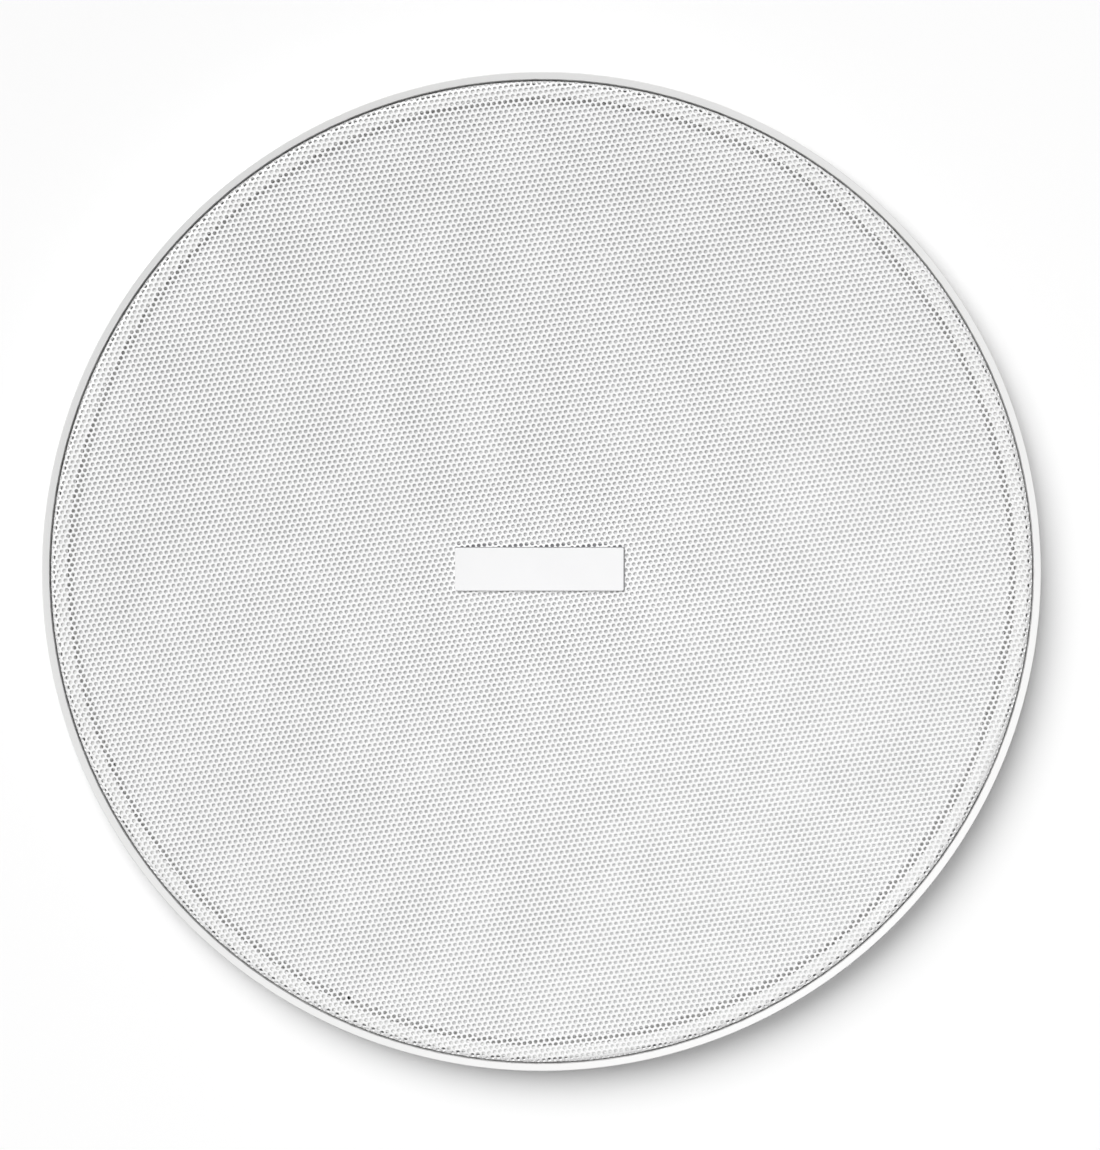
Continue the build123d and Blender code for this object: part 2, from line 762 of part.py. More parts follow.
bridge_seat = bridge_front + screw_head_height
with BuildPart() as bridge_screws:
    with BuildSketch(Plane.XY.offset(bridge_front)):
        with PolarLocations(bridge_screw_place, 2, start_angle=90):
            Circle(screw_head_radius)
    extrude(amount=screw_head_height)
    fillet(bridge_screws.edges().group_by(Axis.Z)[0], head_round)
    with BuildSketch(Plane.XY.offset(bridge_front)):
        with PolarLocations(bridge_screw_place, 2, start_angle=90):
            add(cross.sketch)
    extrude(amount=cross_depth, mode=Mode.SUBTRACT)
    with BuildSketch(Plane.XY.offset(bridge_seat)):
        with PolarLocations(bridge_screw_place, 2, start_angle=90):
            Circle(screw_radius)
    extrude(amount=trough_front + screw_bite - screw_gap - bridge_seat)
bridge_screws.part.label = "bridge_screws"
export_step(bridge_screws.part, "parts/bridge_screws.step")

# Tweeter housing: a cup let into the bridge's ring, with a flange on the ring's back
housing_back = bridge_front + tweeter_depth
housing_floor = housing_back - tweeter_wall
housing_bore = tweeter_radius - tweeter_wall
with BuildPart() as tweeter_housing:
    with BuildSketch(Plane.XY.offset(bridge_front)):
        Circle(tweeter_radius)
    extrude(amount=tweeter_depth)
    with BuildSketch(Plane.XY.offset(bridge_back)):
        Circle(tweeter_radius + tweeter_flange)
    extrude(amount=tweeter_wall)
    with BuildSketch(Plane.XY.offset(bridge_front)):
        Circle(housing_bore)
    extrude(amount=housing_floor - bridge_front, mode=Mode.SUBTRACT)
tweeter_housing.part.label = "tweeter_housing"
export_step(tweeter_housing.part, "parts/tweeter_housing.step")

# Tweeter motor: a steel pot with a disc magnet and a pole plate in it
pot_front = housing_floor - pot_height
coil_inner = dome_radius - tweeter_coil_wall / 2
coil_outer = dome_radius + tweeter_coil_wall / 2
pole_plate_radius = coil_inner - tweeter_gap
pot_bore = coil_outer + 2 * tweeter_gap
magnet_seat = housing_floor - pot_floor
pole_plate_back = pot_front + pole_plate_thickness
with BuildPart() as tweeter_pot:
    with BuildSketch(Plane.XY.offset(pot_front)):
        Circle(pot_radius)
    extrude(amount=pot_height)
    with BuildSketch(Plane.XY.offset(pot_front)):
        Circle(pot_bore)
    extrude(amount=pot_height - pot_floor, mode=Mode.SUBTRACT)
tweeter_pot.part.label = "tweeter_pot"
export_step(tweeter_pot.part, "parts/tweeter_pot.step")

with BuildPart() as tweeter_magnet:
    with BuildSketch(Plane.XY.offset(pole_plate_back)):
        Circle(tweeter_magnet_radius)
    extrude(amount=magnet_seat - pole_plate_back)
tweeter_magnet.part.label = "tweeter_magnet"
export_step(tweeter_magnet.part, "parts/tweeter_magnet.step")

with BuildPart() as tweeter_pole_plate:
    with BuildSketch(Plane.XY.offset(pot_front)):
        Circle(pole_plate_radius)
    extrude(amount=pole_plate_thickness)
tweeter_pole_plate.part.label = "tweeter_pole_plate"
export_step(tweeter_pole_plate.part, "parts/tweeter_pole_plate.step")

with BuildPart() as tweeter_voice_coil:
    with BuildSketch(Plane.XY.offset(pot_front + bond_gap)):
        Circle(coil_outer)
        Circle(coil_inner, mode=Mode.SUBTRACT)
    extrude(amount=tweeter_coil_length)
tweeter_voice_coil.part.label = "tweeter_voice_coil"
export_step(tweeter_voice_coil.part, "parts/tweeter_voice_coil.step")

# Dome: one formed skin, with a flat ring on the pot
dome_face = pot_front - dome_sheet
with BuildPart() as tweeter_dome:
    with BuildSketch(Plane.XZ):
        with BuildLine():
            TangentArc((0, dome_face - dome_rise), (dome_radius, dome_face), tangent=(1, 0))
            Polyline(
                (dome_radius, dome_face),
                (pot_radius, dome_face),
                (pot_radius, pot_front),
                (dome_radius, pot_front),
            )
            TangentArc((0, pot_front - dome_rise), (dome_radius, pot_front), tangent=(1, 0))
            Line((0, pot_front - dome_rise), (0, dome_face - dome_rise))
        make_face()
    revolve(axis=Axis.Z)
tweeter_dome.part.label = "tweeter_dome"
export_step(tweeter_dome.part, "parts/tweeter_dome.step")

# Waveguide: a ring with a flared throat that holds the dome's edge down
horn_back = dome_face - bond_gap
horn_throat = dome_radius + dome_roll
horn_outer = housing_bore - bond_gap
with BuildPart() as tweeter_waveguide:
    with BuildSketch(Plane.XZ):
        with BuildLine():
            Polyline(
                (horn_throat, horn_back),
                (horn_outer, horn_back),
                (horn_outer, bridge_front),
                (horn_outer - horn_mouth_rim, bridge_front),
                (horn_throat, horn_back - horn_throat_land),
                close=True,
            )
        make_face()
    revolve(axis=Axis.Z)
tweeter_waveguide.part.label = "tweeter_waveguide"
export_step(tweeter_waveguide.part, "parts/tweeter_waveguide.step")

# Tweeter leads: from the board down through the frame and along the bridge's channel
lead_height = bridge_back - channel_depth / 2
with BuildPart() as tweeter_leads:
    for side in (-1, 1):
        with BuildLine() as lead_run:
            FilletPolyline(
                (side * lead_spacing / 2, lead_drop, board_front - bond_gap),
                (side * lead_spacing / 2, lead_drop, lead_height),
                (side * lead_spacing / 2, tweeter_radius + bond_gap, lead_height),
                radius=lead_bend,
            )
        with BuildSketch(Plane(origin=lead_run.line @ 0, z_dir=lead_run.line % 0)):
            Circle(lead_radius)
        sweep(path=lead_run.line)
tweeter_leads.part.label = "tweeter_leads"
export_step(tweeter_leads.part, "parts/tweeter_leads.step")

# Crossover board: a sector that follows the frame, on three pillars
board_start = board_angle - board_half_angle
with BuildPart() as crossover_board:
    with BuildSketch(Plane.XY.offset(board_front)):
        with BuildLine():
            CenterArc((0, 0), board_outer, board_start, 2 * board_half_angle)
            CenterArc((0, 0), board_inner, board_start, 2 * board_half_angle)
            for side in (-1, 1):
                board_side = Vector(1, 0).rotate(Axis.Z, board_angle + side * board_half_angle)
                Line(board_side * board_inner, board_side * board_outer)
        make_face()
        for side in (-1, 1):
            with PolarLocations(clamp_circle, 1, start_angle=board_angle + side * board_fixing_angle):
                Circle(board_screw_radius + screw_gap, mode=Mode.SUBTRACT)
        with PolarLocations(inner_fixing_circle, 1, start_angle=board_angle):
            Circle(board_screw_radius + screw_gap, mode=Mode.SUBTRACT)
    extrude(amount=board_thickness)
crossover_board.part.label = "crossover_board"
export_step(crossover_board.part, "parts/crossover_board.step")

with BuildPart() as board_screws:
    with BuildSketch(Plane.XY.offset(board_back)):
        for side in (-1, 1):
            with PolarLocations(clamp_circle, 1, start_angle=board_angle + side * board_fixing_angle):
                Circle(board_head_radius)
        with PolarLocations(inner_fixing_circle, 1, start_angle=board_angle):
            Circle(board_head_radius)
    extrude(amount=board_head_height)
    fillet(board_screws.edges().group_by(Axis.Z)[-1], head_round)
    with BuildSketch(Plane.XY.offset(board_back + board_head_height)):
        for side in (-1, 1):
            with PolarLocations(clamp_circle, 1, start_angle=board_angle + side * board_fixing_angle):
                add(cross.sketch)
        with PolarLocations(inner_fixing_circle, 1, start_angle=board_angle):
            add(cross.sketch)
    extrude(amount=-cross_depth, mode=Mode.SUBTRACT)
    with BuildSketch(Plane.XY.offset(board_back)):
        for side in (-1, 1):
            with PolarLocations(clamp_circle, 1, start_angle=board_angle + side * board_fixing_angle):
                Circle(board_screw_radius)
        with PolarLocations(inner_fixing_circle, 1, start_angle=board_angle):
            Circle(board_screw_radius)
    extrude(amount=screw_gap - board_thickness - board_lift)
board_screws.part.label = "board_screws"
export_step(board_screws.part, "parts/board_screws.step")

# Inductor: a bobbin standing on the board, with its winding between the flanges
inductor_circle = (board_inner + board_outer) / 2
with BuildPart() as inductor_bobbin:
    with BuildSketch(polar_plane(inductor_angle, inductor_circle, board_back)):
        Circle(bobbin_hub)
        Circle(bobbin_bore, mode=Mode.SUBTRACT)
    extrude(amount=bobbin_height)
    for height in (board_back, board_back + bobbin_height - bobbin_flange):
        with BuildSketch(polar_plane(inductor_angle, inductor_circle, height)):
            Circle(bobbin_radius)
            Circle(bobbin_bore, mode=Mode.SUBTRACT)
        extrude(amount=bobbin_flange)
inductor_bobbin.part.label = "inductor_bobbin"
export_step(inductor_bobbin.part, "parts/inductor_bobbin.step")

with BuildPart() as inductor_winding:
    with BuildSketch(polar_plane(inductor_angle, inductor_circle, board_back + bobbin_flange + bond_gap)):
        Circle(bobbin_radius - winding_margin)
        Circle(bobbin_hub + bond_gap, mode=Mode.SUBTRACT)
    extrude(amount=bobbin_height - 2 * bobbin_flange - 2 * bond_gap)
inductor_winding.part.label = "inductor_winding"
export_step(inductor_winding.part, "parts/inductor_winding.step")

# Capacitor and resistor: lying side by side on the board
capacitor_circle = board_outer - part_spacing - capacitor_radius
capacitor_seat = polar_plane(capacitor_angle, capacitor_circle, board_back + capacitor_radius + bond_gap)
capacitor_end = Plane(origin=capacitor_seat.origin, x_dir=(0, 0, 1), z_dir=capacitor_seat.y_dir)
with BuildPart() as crossover_capacitor:
    with BuildSketch(capacitor_end):
        Circle(capacitor_radius)
    extrude(amount=capacitor_length / 2, both=True)
    fillet(crossover_capacitor.edges().filter_by(GeomType.CIRCLE), capacitor_round)
crossover_capacitor.part.label = "crossover_capacitor"
export_step(crossover_capacitor.part, "parts/crossover_capacitor.step")

resistor_circle = capacitor_circle - capacitor_radius - part_spacing - resistor_width / 2
with BuildPart() as crossover_resistor:
    with BuildSketch(polar_plane(resistor_angle, resistor_circle, board_back)):
        Rectangle(resistor_width, resistor_length)
    extrude(amount=resistor_width)
crossover_resistor.part.label = "crossover_resistor"
export_step(crossover_resistor.part, "parts/crossover_resistor.step")

# Terminal block: two wire holes facing outwards, and a well over each for its push button
block_top = board_back + block_height
block_middle = (block_inner + block_outer) / 2
well_place = block_inner + block_depth / 2
well_floor = block_top + button_proud - button_height - button_travel - bond_gap
with BuildPart() as terminal_block:
    with BuildSketch(Plane.XY.offset(board_back)):
        with Locations((0, block_middle)):
            Rectangle(block_width, block_depth)
    extrude(amount=block_height)
    with BuildSketch(Plane.XY.offset(well_floor)):
        for side in (-1, 1):
            with Locations((side * button_spacing / 2, well_place)):
                Rectangle(button_width + 2 * button_gap, button_width + 2 * button_gap)
    extrude(amount=block_top - well_floor, mode=Mode.SUBTRACT)
    with BuildSketch(Plane.XZ.offset(-block_outer)):
        for side in (-1, 1):
            with Locations((side * button_spacing / 2, board_back + wire_hole_height)):
                Circle(wire_hole_radius)
    extrude(amount=wire_hole_depth, mode=Mode.SUBTRACT)
terminal_block.part.label = "terminal_block"
export_step(terminal_block.part, "parts/terminal_block.step")

for side, colour in ((1, "red"), (-1, "black")):
    with BuildPart() as terminal_button:
        with BuildSketch(Plane.XY.offset(block_top + button_proud - button_height)):
            with Locations((side * button_spacing / 2, well_place)):
                Rectangle(button_width, button_width)
        extrude(amount=button_height)
        fillet(terminal_button.faces().sort_by(Axis.Z)[-1].edges(), button_round)
    terminal_button.part.label = f"terminal_button_{colour}"
    export_step(terminal_button.part, f"parts/terminal_button_{colour}.step")

# Clamps: a screw held in the trough's floor, a threaded insert on it and an arm that swings with the insert
for number in range(clamp_count):
    place = clamp_angle + number * 360 / clamp_count
    with BuildPart() as clamp_screw:
        with BuildSketch(polar_plane(place, clamp_circle, trough_front)):
            Circle(clamp_head_radius)
        extrude(amount=-clamp_head_height)
        with BuildSketch(polar_plane(place, clamp_circle, trough_front)):
            Circle(clamp_screw_radius)
        extrude(amount=clamp_screw_end - trough_front)
        with BuildSketch(polar_plane(place, clamp_circle, trough_front - clamp_head_height)):
            Rectangle(recess_length, recess_width)
            Rectangle(recess_width, recess_length)
        extrude(amount=recess_depth, mode=Mode.SUBTRACT)
    clamp_screw.part.label = f"clamp_screw_{number + 1}"
    export_step(clamp_screw.part, f"parts/clamp_screw_{number + 1}.step")

    with BuildPart() as clamp_insert:
        with BuildSketch(polar_plane(place, clamp_circle, arm_rest)):
            Circle(nut_radius)
        extrude(amount=arm_height)
        with BuildSketch(polar_plane(place, clamp_circle, arm_top)):
            Circle(nut_radius + nut_flange)
        extrude(amount=nut_flange_thickness)
        with BuildSketch(polar_plane(place, clamp_circle, arm_rest)):
            Circle(clamp_screw_radius + running_gap)
        extrude(amount=nut_top - arm_rest, mode=Mode.SUBTRACT)
    clamp_insert.part.label = f"clamp_insert_{number + 1}"
    export_step(clamp_insert.part, f"parts/clamp_insert_{number + 1}.step")

    with BuildPart() as clamp_arm:
        with BuildSketch(polar_plane(place, clamp_circle, arm_rest)):
            Circle(hub_radius)
            with Locations((0, -(arm_length - arm_width / 2) / 2)):
                Rectangle(arm_width, arm_length - arm_width / 2)
            with Locations((0, arm_width / 2 - arm_length)):
                Circle(arm_width / 2)
            with Locations(((hub_radius + heel_reach) / 2, 0)):
                Rectangle(hub_radius + heel_reach, heel_width)
            Circle(nut_radius + running_gap, mode=Mode.SUBTRACT)
        extrude(amount=arm_height)
    clamp_arm.part.label = f"clamp_arm_{number + 1}"
    export_step(clamp_arm.part, f"parts/clamp_arm_{number + 1}.step")

# Clips: push-on washers that keep each screw in the floor and each insert on its screw
with BuildPart() as clamp_clips:
    for height in (trough_height, tip_clip):
        with BuildSketch(Plane.XY.offset(height)):
            with PolarLocations(clamp_circle, clamp_count, start_angle=clamp_angle):
                Circle(clamp_screw_radius + clip_width)
                Circle(clamp_screw_radius + bond_gap, mode=Mode.SUBTRACT)
        extrude(amount=clip_thickness)
clamp_clips.part.label = "clamp_clips"
export_step(clamp_clips.part, "parts/clamp_clips.step")
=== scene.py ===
from math import ceil, cos, hypot, pi, radians, sin

import bmesh
import bpy
from mathutils import Matrix, Vector


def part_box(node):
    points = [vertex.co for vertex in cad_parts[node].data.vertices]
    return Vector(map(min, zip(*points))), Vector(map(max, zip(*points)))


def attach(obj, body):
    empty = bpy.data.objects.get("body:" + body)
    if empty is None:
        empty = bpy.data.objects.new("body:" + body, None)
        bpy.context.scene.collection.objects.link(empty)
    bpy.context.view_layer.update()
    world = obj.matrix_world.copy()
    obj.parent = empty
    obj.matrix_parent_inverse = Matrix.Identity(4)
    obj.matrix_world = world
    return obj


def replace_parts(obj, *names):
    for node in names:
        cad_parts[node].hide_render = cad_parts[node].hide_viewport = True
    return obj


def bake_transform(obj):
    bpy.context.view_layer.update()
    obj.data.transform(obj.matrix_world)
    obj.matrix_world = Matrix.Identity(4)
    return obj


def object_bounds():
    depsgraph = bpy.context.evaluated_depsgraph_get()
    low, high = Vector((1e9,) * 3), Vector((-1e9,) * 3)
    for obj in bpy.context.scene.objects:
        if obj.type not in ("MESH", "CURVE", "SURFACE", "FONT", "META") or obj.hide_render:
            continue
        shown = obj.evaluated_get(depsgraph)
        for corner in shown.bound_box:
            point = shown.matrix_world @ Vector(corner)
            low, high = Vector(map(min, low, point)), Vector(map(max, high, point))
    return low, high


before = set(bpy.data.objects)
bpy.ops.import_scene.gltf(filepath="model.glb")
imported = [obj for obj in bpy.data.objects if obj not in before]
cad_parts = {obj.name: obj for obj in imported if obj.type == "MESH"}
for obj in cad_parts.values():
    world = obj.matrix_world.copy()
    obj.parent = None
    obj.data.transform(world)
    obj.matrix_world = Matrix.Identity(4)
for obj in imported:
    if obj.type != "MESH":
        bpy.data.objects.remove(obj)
cad_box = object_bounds()


# Mounting frame: the white moulding that carries everything and shows as a thin lip round the grille.
# It is injection moulded in ABS with a fine eroded texture, and its bosses, towers and ribs are part of
# the moulding. Its hard edges behind the lip's face get the small radius that a mould leaves.
def coat(name, colour, rough, grain, depth, drift=0.04, metal=0.0):
    """A finish that drifts a little in colour and gloss, over a relief of fine grains."""
    finish = bpy.data.materials.new(name)
    finish.use_nodes = True
    tree = finish.node_tree
    shader = tree.nodes["Principled BSDF"]
    shader.inputs["Metallic"].default_value = metal
    place = tree.nodes.new("ShaderNodeTexCoord")
    cloud = tree.nodes.new("ShaderNodeTexNoise")
    cloud.name = "cloud"
    cloud.inputs["Scale"].default_value = 70
    cloud.inputs["Detail"].default_value = 6
    tint = tree.nodes.new("ShaderNodeValToRGB")
    tint.name = "tint"
    dark, light = tint.color_ramp.elements
    dark.position, light.position = 0.35, 0.65
    dark.color = (*(share * (1 - drift) for share in colour), 1)
    light.color = (*(min(1.0, share * (1 + drift)) for share in colour), 1)
    gloss = tree.nodes.new("ShaderNodeMapRange")
    gloss.inputs["To Min"].default_value = rough - 0.04
    gloss.inputs["To Max"].default_value = rough + 0.04
    speck = tree.nodes.new("ShaderNodeTexNoise")
    speck.inputs["Scale"].default_value = 1 / grain
    speck.inputs["Detail"].default_value = 3
    relief = tree.nodes.new("ShaderNodeBump")
    relief.name = "relief"
    relief.inputs["Strength"].default_value = 0.5
    relief.inputs["Distance"].default_value = depth
    for texture in (cloud, speck):
        tree.links.new(place.outputs["Object"], texture.inputs["Vector"])
    tree.links.new(cloud.outputs["Fac"], tint.inputs["Fac"])
    tree.links.new(tint.outputs["Color"], shader.inputs["Base Color"])
    tree.links.new(cloud.outputs["Fac"], gloss.inputs["Value"])
    tree.links.new(gloss.outputs["Result"], shader.inputs["Roughness"])
    tree.links.new(speck.outputs["Fac"], relief.inputs["Height"])
    tree.links.new(relief.outputs["Normal"], shader.inputs["Normal"])
    return finish


def piece(name, shape, body, finish, crease=35):
    """A finished shape as an object on a body, smooth up to the crease angle."""
    for face in shape.faces:
        face.smooth = True
    for edge in shape.edges:
        edge.smooth = edge.calc_face_angle(0) < radians(crease)
    mesh = bpy.data.meshes.new(name)
    shape.to_mesh(mesh)
    shape.free()
    mesh.materials.append(finish)
    obj = bpy.data.objects.new(name, mesh)
    bpy.context.collection.objects.link(obj)
    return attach(obj, body) if body else obj


def dressed(node, finish, body="frame", edge=0.0, above=-1.0):
    """A node's own form as one smooth shell, with its hard edges above a height rounded by this much."""
    shape = bmesh.new()
    shape.from_mesh(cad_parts[node].data)
    bmesh.ops.remove_doubles(shape, verts=shape.verts, dist=2e-6)
    bmesh.ops.dissolve_limit(
        shape, angle_limit=radians(0.5), verts=shape.verts, edges=shape.edges
    )
    if edge:
        high = [e for e in shape.edges if min(vert.co.z for vert in e.verts) > above]
        hard = [e for e in high if e.is_manifold and e.calc_face_angle() > radians(30)]
        bmesh.ops.bevel(
            shape,
            geom=hard,
            offset=edge,
            segments=1,
            profile=0.5,
            affect="EDGES",
            material=-1,
        )
    shell = piece(f"{node}_shell", shape, body, finish, crease=50)
    shell.modifiers.new("even_shading", "WEIGHTED_NORMAL").keep_sharp = True
    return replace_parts(shell, node)


white_moulding = coat("white_moulding", (0.77, 0.77, 0.765), 0.42, 0.0005, 0.00003, drift=0.012)
lip_face = 0.0005
dressed("mounting_frame", white_moulding, edge=0.0003, above=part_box("mounting_frame")[0].z + lip_face)

# Woofer basket: pressed steel with eight windows behind the cone, black enamel over the whole pressing.
# Its rim is screwed up against the frame's baffle.
black_enamel = coat("black_enamel", (0.016, 0.016, 0.018), 0.36, 0.0016, 0.00004, drift=0.2)
dressed("woofer_basket", black_enamel, edge=0.0002)


# Woofer motor: a ring of ferrite between two zinc-plated steel plates, all glued to the basket's neck.
# The plates keep faint rings from turning, and the ferrite is a dark sintered ceramic with open pores.
def turned(name, colour, rough, pitch):
    """Plated steel with faint turning marks round the axis."""
    finish = coat(name, colour, rough, 0.0009, 0.00001, drift=0.03, metal=1.0)
    tree = finish.node_tree
    place = tree.nodes.new("ShaderNodeTexCoord")
    rings = tree.nodes.new("ShaderNodeTexWave")
    rings.wave_type = "RINGS"
    rings.rings_direction = "Z"
    rings.inputs["Scale"].default_value = pi / (10 * pitch)
    rings.inputs["Distortion"].default_value = 1.5
    marks = tree.nodes.new("ShaderNodeBump")
    marks.inputs["Strength"].default_value = 0.25
    marks.inputs["Distance"].default_value = 0.00002
    tree.links.new(place.outputs["Object"], rings.inputs["Vector"])
    tree.links.new(rings.outputs["Fac"], marks.inputs["Height"])
    tree.links.new(tree.nodes["relief"].outputs["Normal"], marks.inputs["Normal"])
    tree.links.new(marks.outputs["Normal"], tree.nodes["Principled BSDF"].inputs["Normal"])
    return finish


zinc_plate = turned("zinc_plate", (0.62, 0.63, 0.64), 0.34, 0.0007)
ferrite = coat("ferrite", (0.055, 0.055, 0.06), 0.62, 0.0007, 0.0001, drift=0.25)
dressed("motor_front_plate", zinc_plate, edge=0.0003)
dressed("woofer_magnet", ferrite, edge=0.0003)
dressed("motor_yoke", zinc_plate, edge=0.0003)


# Voice coil: an aluminium former that slides over the pole, with enamelled copper wire wound on it.
# The turns lie side by side, so the wire shows as fine bands.
def wound(name, colour, turn):
    """Copper wire laid turn on turn along Z."""
    finish = coat(name, colour, 0.3, 0.0006, 0.00001, drift=0.1, metal=1.0)
    tree = finish.node_tree
    place = tree.nodes.new("ShaderNodeTexCoord")
    turns = tree.nodes.new("ShaderNodeTexWave")
    turns.bands_direction = "Z"
    turns.inputs["Scale"].default_value = pi / (10 * turn)
    round_wire = tree.nodes.new("ShaderNodeBump")
    round_wire.inputs["Strength"].default_value = 0.9
    round_wire.inputs["Distance"].default_value = turn / 3
    tree.links.new(place.outputs["Object"], turns.inputs["Vector"])
    tree.links.new(turns.outputs["Fac"], round_wire.inputs["Height"])
    tree.links.new(round_wire.outputs["Normal"], tree.nodes["Principled BSDF"].inputs["Normal"])
    return finish


former_foil = coat("former_foil", (0.78, 0.78, 0.79), 0.3, 0.0008, 0.00001, drift=0.05, metal=1.0)
enamelled_copper = wound("enamelled_copper", (0.62, 0.27, 0.12), 0.00045)
dressed("voice_coil_former", former_foil, body="cone")
dressed("voice_coil_winding", enamelled_copper, body="cone")


# Cone and dust cap: moulded polypropylene, charcoal with a faint sheen from the mica in it.
# The cap is glued to the front of the cone and the former to its neck.
charcoal_poly = coat("charcoal_poly", (0.035, 0.036, 0.04), 0.44, 0.0006, 0.00002, drift=0.12)
dressed("woofer_cone", charcoal_poly, body="cone", edge=0.0001)
dressed("dust_cap", charcoal_poly, body="cone")


# Surround: a half roll of black butyl rubber between the cone's lip and the basket's rim.
# It is moulded in one ring, made here in arcs.
def swept(outline, arc, steps, start):
    """A closed outline of (radius, height) points swept round Z through an arc, with its ends filled."""
    shape = bmesh.new()
    corners = [shape.verts.new((radius, 0, height)) for radius, height in outline]
    rim = [shape.edges.new(pair) for pair in zip(corners, corners[1:] + corners[:1])]
    bmesh.ops.spin(
        shape, geom=corners + rim, axis=(0, 0, 1), angle=arc, steps=steps, use_merge=arc >= 2 * pi
    )
    bmesh.ops.holes_fill(shape, edges=[e for e in shape.edges if e.is_boundary])
    bmesh.ops.rotate(shape, matrix=Matrix.Rotation(start, 3, "Z"), verts=shape.verts)
    bmesh.ops.recalc_face_normals(shape, faces=shape.faces)
    return shape


def flexing_ring(node, outline, finish, arcs=24):
    """A ring made in arcs that take the place of the node."""
    for arc in range(arcs):
        shape = swept(outline, 2 * pi / arcs, 3, arc * 2 * pi / arcs)
        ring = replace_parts(piece(f"{node}_arc_{arc + 1}", shape, None, finish), node)
        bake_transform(ring)


surround_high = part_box("woofer_surround")[1]
surround_sheet = 0.0007
surround_lip = 0.005
roll_width = 0.010
roll_outer = surround_high.x - surround_lip
roll_inner = roll_outer - roll_width
roll_middle = (roll_outer + roll_inner) / 2
inner_lip = 0.003
lip_inner = roll_inner - inner_lip
roll_sweep = [step * pi / 16 for step in range(17)]


def half_roll(radius):
    """The roll's section at this radius, from its inner foot to its outer one."""
    base = surround_high.z - surround_sheet / 2
    return [(roll_middle - radius * cos(turn), base - radius * sin(turn)) for turn in roll_sweep]


surround_outline = (
    [(lip_inner, surround_high.z - surround_sheet)]
    + half_roll(roll_width / 2 + surround_sheet / 2)
    + [(surround_high.x, surround_high.z - surround_sheet), (surround_high.x, surround_high.z)]
    + half_roll(roll_width / 2 - surround_sheet / 2)[::-1]
    + [(lip_inner, surround_high.z)]
)
butyl_rubber = coat("butyl_rubber", (0.018, 0.018, 0.018), 0.55, 0.0008, 0.00002, drift=0.15)
flexing_ring("woofer_surround", surround_outline, butyl_rubber)


# Spider: cotton cloth stiffened with resin and pressed into rings of waves, which centres the coil.
# Its inner edge is glued to the former and its outer edge to the shelf of the basket.
def woven(name, colour, rough, thread, depth, drift=0.1):
    """A plain weave of threads along X and Y."""
    finish = coat(name, colour, rough, thread, depth / 4, drift)
    tree = finish.node_tree
    place = tree.nodes.new("ShaderNodeTexCoord")
    crossing = tree.nodes.new("ShaderNodeMath")
    crossing.operation = "MULTIPLY"
    for port, direction in enumerate("XY"):
        threads = tree.nodes.new("ShaderNodeTexWave")
        threads.bands_direction = direction
        threads.inputs["Scale"].default_value = pi / (10 * thread)
        threads.inputs["Distortion"].default_value = 0.6
        tree.links.new(place.outputs["Object"], threads.inputs["Vector"])
        tree.links.new(threads.outputs["Fac"], crossing.inputs[port])
    weave = tree.nodes.new("ShaderNodeBump")
    weave.inputs["Strength"].default_value = 0.8
    weave.inputs["Distance"].default_value = depth
    tree.links.new(crossing.outputs["Value"], weave.inputs["Height"])
    tree.links.new(tree.nodes["relief"].outputs["Normal"], weave.inputs["Normal"])
    tree.links.new(weave.outputs["Normal"], tree.nodes["Principled BSDF"].inputs["Normal"])
    return finish


spider_low, spider_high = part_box("woofer_spider")
former_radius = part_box("voice_coil_former")[1].x
spider_sheet = 0.0005
spider_wave = (spider_high.z - spider_low.z - spider_sheet) / 2
neck_margin = 0.0025
shelf_margin = 0.006
wave_count = 4
wave_first = former_radius + neck_margin
wave_last = spider_high.x - shelf_margin
wave_width = wave_last - wave_first
spider_middle = (spider_low.z + spider_high.z) / 2
wave_steps = [step / 32 for step in range(33)]
wave_line = [(wave_first + t * wave_width, spider_wave * sin(wave_count * 2 * pi * t)) for t in wave_steps]
wave_line = [(former_radius, 0)] + wave_line + [(spider_high.x, 0)]
spider_outline = [(r, spider_middle - spider_sheet / 2 + rise) for r, rise in wave_line]
spider_outline += [(r, rise + spider_sheet) for r, rise in spider_outline[::-1]]
resin_cloth = woven("resin_cloth", (0.55, 0.36, 0.13), 0.7, 0.0006, 0.00015)
flexing_ring("woofer_spider", spider_outline, resin_cloth)

# Gasket and woofer screws: a die-cut ring of soft rubber on the rim, and four black pan-head screws.
# The screws go through the rim into the bosses on the frame's back.
gasket_rubber = coat("gasket_rubber", (0.02, 0.02, 0.02), 0.8, 0.0009, 0.00008, drift=0.2)
black_oxide = coat("black_oxide", (0.02, 0.02, 0.022), 0.4, 0.0005, 0.00001, drift=0.2, metal=0.6)
dressed("woofer_gasket", gasket_rubber, edge=0.0002)
dressed("woofer_screws", black_oxide)

# Woofer terminals: a strip of brown phenolic paper against the basket, with two tinned brass lugs.
# Two leads with black sleeves are soldered between the lugs and the board.
phenolic_paper = coat("phenolic_paper", (0.16, 0.075, 0.03), 0.5, 0.0007, 0.00002, drift=0.25)
tinned_brass = coat("tinned_brass", (0.72, 0.70, 0.62), 0.32, 0.0006, 0.00002, drift=0.1, metal=1.0)
black_sleeve = coat("black_sleeve", (0.022, 0.022, 0.022), 0.42, 0.0008, 0.00002, drift=0.15)
dressed("terminal_strip", phenolic_paper, edge=0.0002)
dressed("terminal_lugs", tinned_brass, edge=0.0002)
dressed("woofer_leads", black_sleeve)

